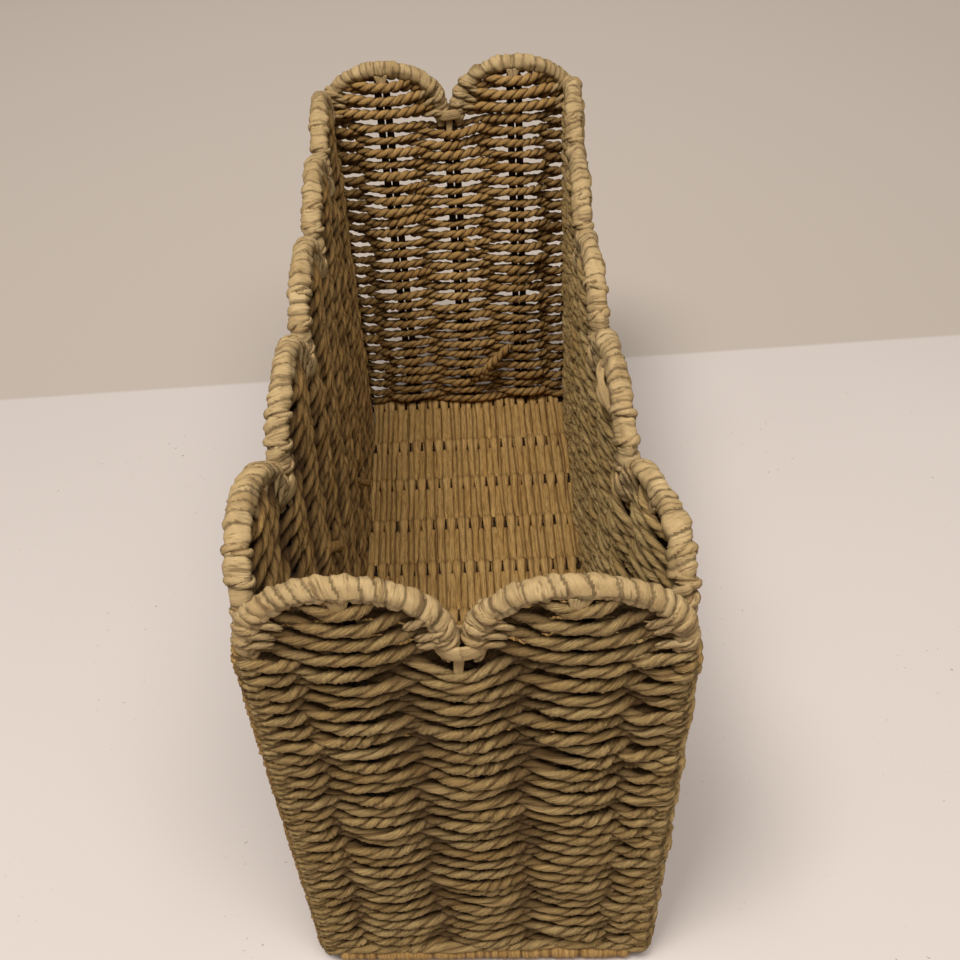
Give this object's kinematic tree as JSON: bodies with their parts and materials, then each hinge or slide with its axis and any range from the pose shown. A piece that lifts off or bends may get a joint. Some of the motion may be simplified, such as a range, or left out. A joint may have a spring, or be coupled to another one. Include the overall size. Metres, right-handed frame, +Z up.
{
  "type": "magazine basket",
  "caption": "Open-topped oblong basket of twisted paper rope woven on a wire frame, with a scalloped rim bound in wound paper strip.",
  "frame": {"origin": "middle of the underside, on the surface the basket stands on", "axes": "+Z up, +Y along the basket from the front end to the back end, +X across to the right"},
  "size_m": [0.124, 0.322, 0.2066],
  "materials": {
    "woven_rope": "matte",
    "rim_strip": "matte",
    "frame_wire": "satin"
  },
  "bodies": {
    "root": {"bottom_frame": "frame_wire", "cross_wire_1": "frame_wire", "cross_wire_2": "frame_wire", "cross_wire_3": "frame_wire", "cross_wire_4": "frame_wire", "cross_wire_5": "frame_wire", "cross_wire_6": "frame_wire", "cross_wire_7": "frame_wire", "cross_wire_8": "frame_wire", "cross_wire_9": "frame_wire", "base_weave": "woven_rope", "front_weave": "woven_rope", "front_rim_wire": "frame_wire", "front_rim_strip_1": "rim_strip", "front_rim_strip_2": "rim_strip", "front_stake_1": "frame_wire", "front_stake_2": "frame_wire", "front_stake_3": "frame_wire", "right_weave": "woven_rope", "right_rim_wire": "frame_wire", "right_rim_strip_1": "rim_strip", "right_rim_strip_2": "rim_strip", "right_rim_strip_3": "rim_strip", "right_rim_strip_4": "rim_strip", "right_rim_strip_5": "rim_strip", "right_stake_1": "frame_wire", "right_stake_2": "frame_wire", "right_stake_3": "frame_wire", "right_stake_4": "frame_wire", "right_stake_5": "frame_wire", "right_stake_6": "frame_wire", "right_stake_7": "frame_wire", "right_stake_8": "frame_wire", "right_stake_9": "frame_wire", "back_weave": "woven_rope", "back_rim_wire": "frame_wire", "back_rim_strip_1": "rim_strip", "back_rim_strip_2": "rim_strip", "back_stake_1": "frame_wire", "back_stake_2": "frame_wire", "back_stake_3": "frame_wire", "left_weave": "woven_rope", "left_rim_wire": "frame_wire", "left_rim_strip_1": "rim_strip", "left_rim_strip_2": "rim_strip", "left_rim_strip_3": "rim_strip", "left_rim_strip_4": "rim_strip", "left_rim_strip_5": "rim_strip", "left_stake_1": "frame_wire", "left_stake_2": "frame_wire", "left_stake_3": "frame_wire", "left_stake_4": "frame_wire", "left_stake_5": "frame_wire", "left_stake_6": "frame_wire", "left_stake_7": "frame_wire", "left_stake_8": "frame_wire", "left_stake_9": "frame_wire"}
  },
  "joints": []
}
